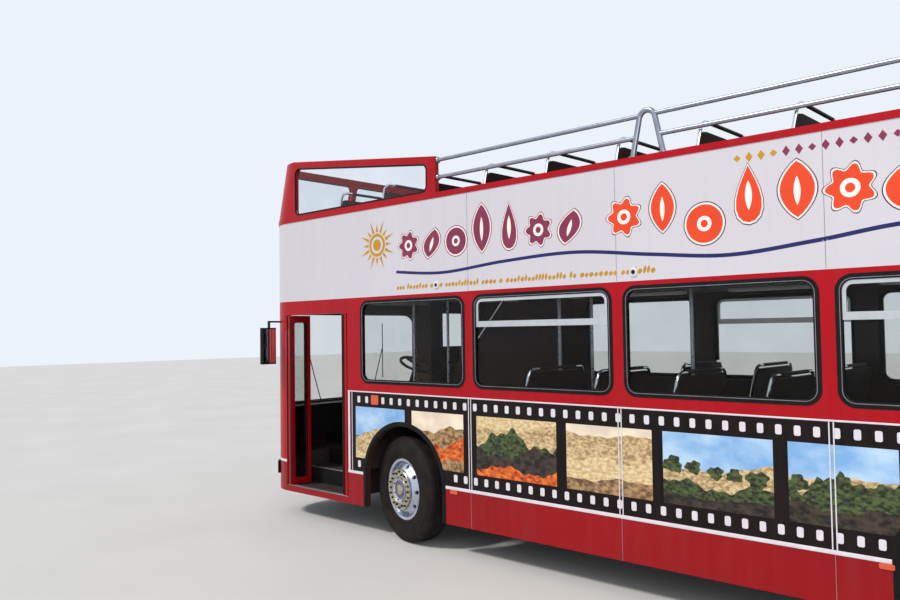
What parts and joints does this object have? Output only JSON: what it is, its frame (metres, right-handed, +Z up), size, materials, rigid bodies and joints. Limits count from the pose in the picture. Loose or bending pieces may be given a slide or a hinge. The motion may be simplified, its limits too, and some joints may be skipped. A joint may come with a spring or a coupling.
{
  "type": "open top double decker bus",
  "caption": "Double decker bus with a front entrance, folding doors, open upper deck behind a short windscreen, guard rails, rear engine and steered front wheels.",
  "frame": {"origin": "on the road, midway along the bus and on its centreline", "axes": "+X forward, +Y to the nearside (the bus's left), +Z up"},
  "size_m": [9.5, 2.96, 4.05],
  "materials": {
    "red_paint": "satin",
    "white_paint": "satin",
    "chassis_black": "matt",
    "engine_grey": "matt",
    "tyre": "matt",
    "rim_silver": "satin",
    "floor_grey": "matt",
    "seat_brown": "matt",
    "rubber": "matt",
    "glass": "clear",
    "aluminium": "satin",
    "rail_steel": "satin",
    "lamp_clear": "clear",
    "lamp_red": "gloss",
    "lamp_amber": "gloss",
    "trim_dark": "matt",
    "panel_brown": "matt"
  },
  "bodies": {
    "body": {"side_left_lower": "red_paint", "side_right_lower": "red_paint", "front_lower": "red_paint", "rear_lower": "red_paint", "side_left_upper": "white_paint", "side_right_upper": "white_paint", "front_upper": "white_paint", "rear_upper": "white_paint", "cap_rail": "red_paint", "screen_frame": "red_paint", "screen_glass": "glass", "side_glass": "glass", "end_glass": "glass", "window_rubbers": "rubber", "hopper_frames": "aluminium", "windscreen_bar": "rubber", "lower_floor": "floor_grey", "upper_floor": "floor_grey", "staircase": "panel_brown", "chassis_frame": "chassis_black", "engine_block": "engine_grey", "fuel_tank": "chassis_black", "front_axle": "chassis_black", "rear_axle": "chassis_black", "leaf_springs": "chassis_black", "seats_upper": "seat_brown", "seats_lower": "seat_brown", "guard_rails": "rail_steel", "cab": "trim_dark", "steering_wheel": "trim_dark", "grab_poles": "rail_steel", "bumpers": "trim_dark", "headlamps": "lamp_clear", "rear_lamps": "lamp_red", "side_lamps": "lamp_amber", "mirrors": "trim_dark", "grille": "trim_dark", "stair_guard": "panel_brown"},
    "knuckle_left": {"knuckle_left": "chassis_black"},
    "knuckle_right": {"knuckle_right": "chassis_black"},
    "wheel_front_left": {"tyre_front_left": "tyre", "rim_front_left": "rim_silver"},
    "wheel_front_right": {"tyre_front_right": "tyre", "rim_front_right": "rim_silver"},
    "wheel_rear_left": {"tyres_rear_left": "tyre", "rims_rear_left": "rim_silver"},
    "wheel_rear_right": {"tyres_rear_right": "tyre", "rims_rear_right": "rim_silver"},
    "leaf_rear_outer": {"door_rear_outer": "red_paint"},
    "leaf_rear_inner": {"door_rear_inner": "red_paint"},
    "leaf_front_outer": {"door_front_outer": "red_paint"},
    "leaf_front_inner": {"door_front_inner": "red_paint"},
    "emergency_door": {"emergency_door": "red_paint"},
    "engine_cover": {"engine_cover": "red_paint"}
  },
  "joints": [
    {"name": "steer_left", "type": "hinge", "parent": "body", "child": "knuckle_left", "pos_m": [2.38, 1, 0.52], "axis": [0, 0, 1], "range_deg": [-23.5, 48.5]},
    {"name": "roll_front_left", "type": "hinge", "parent": "knuckle_left", "child": "wheel_front_left", "pos_m": [2.38, 1, 0.52], "axis": [0.2164, 0.9763, 0], "continuous": true},
    {"name": "roll_rear_left", "type": "hinge", "parent": "body", "child": "wheel_rear_left", "pos_m": [-2.57, 0.9, 0.52], "axis": [0, 1, 0], "continuous": true},
    {"name": "steer_right", "type": "hinge", "parent": "body", "child": "knuckle_right", "pos_m": [2.38, -1, 0.52], "axis": [0, 0, 1], "range_deg": [-23.5, 48.5]},
    {"name": "roll_front_right", "type": "hinge", "parent": "knuckle_right", "child": "wheel_front_right", "pos_m": [2.38, -1, 0.52], "axis": [0.2164, 0.9763, 0], "continuous": true},
    {"name": "roll_rear_right", "type": "hinge", "parent": "body", "child": "wheel_rear_right", "pos_m": [-2.57, -0.9, 0.52], "axis": [0, 1, 0], "continuous": true},
    {"name": "door_rear", "type": "hinge", "parent": "body", "child": "leaf_rear_outer", "pos_m": [3.24852, 1.22, 0.35], "axis": [0, 0, 1], "range_deg": [0, 90]},
    {"name": "fold_rear", "type": "hinge", "parent": "leaf_rear_outer", "child": "leaf_rear_inner", "pos_m": [3.27002, 0.98126, 0.35], "axis": [0, 0, 1], "range_deg": [-180, 0]},
    {"name": "door_front", "type": "hinge", "parent": "body", "child": "leaf_front_outer", "pos_m": [4.26348, 1.22, 0.35], "axis": [0, 0, 1], "range_deg": [-90, 0]},
    {"name": "fold_front", "type": "hinge", "parent": "leaf_front_outer", "child": "leaf_front_inner", "pos_m": [4.24198, 0.98126, 0.35], "axis": [0, 0, 1], "range_deg": [0, 180]},
    {"name": "emergency_exit", "type": "hinge", "parent": "body", "child": "emergency_door", "pos_m": [-3.257, -1.259, 1.7], "axis": [0, 0, 1], "range_deg": [0, 95]},
    {"name": "engine_lid", "type": "hinge", "parent": "body", "child": "engine_cover", "pos_m": [-4.729, 0, 1.403], "axis": [0, 1, 0], "range_deg": [0, 80]}
  ],
  "couplings": [
    {"joint": "steer_right", "follows": "steer_left", "ratio": 1},
    {"joint": "fold_rear", "follows": "door_rear", "ratio": -2},
    {"joint": "door_front", "follows": "door_rear", "ratio": -1},
    {"joint": "fold_front", "follows": "door_rear", "ratio": 2}
  ]
}
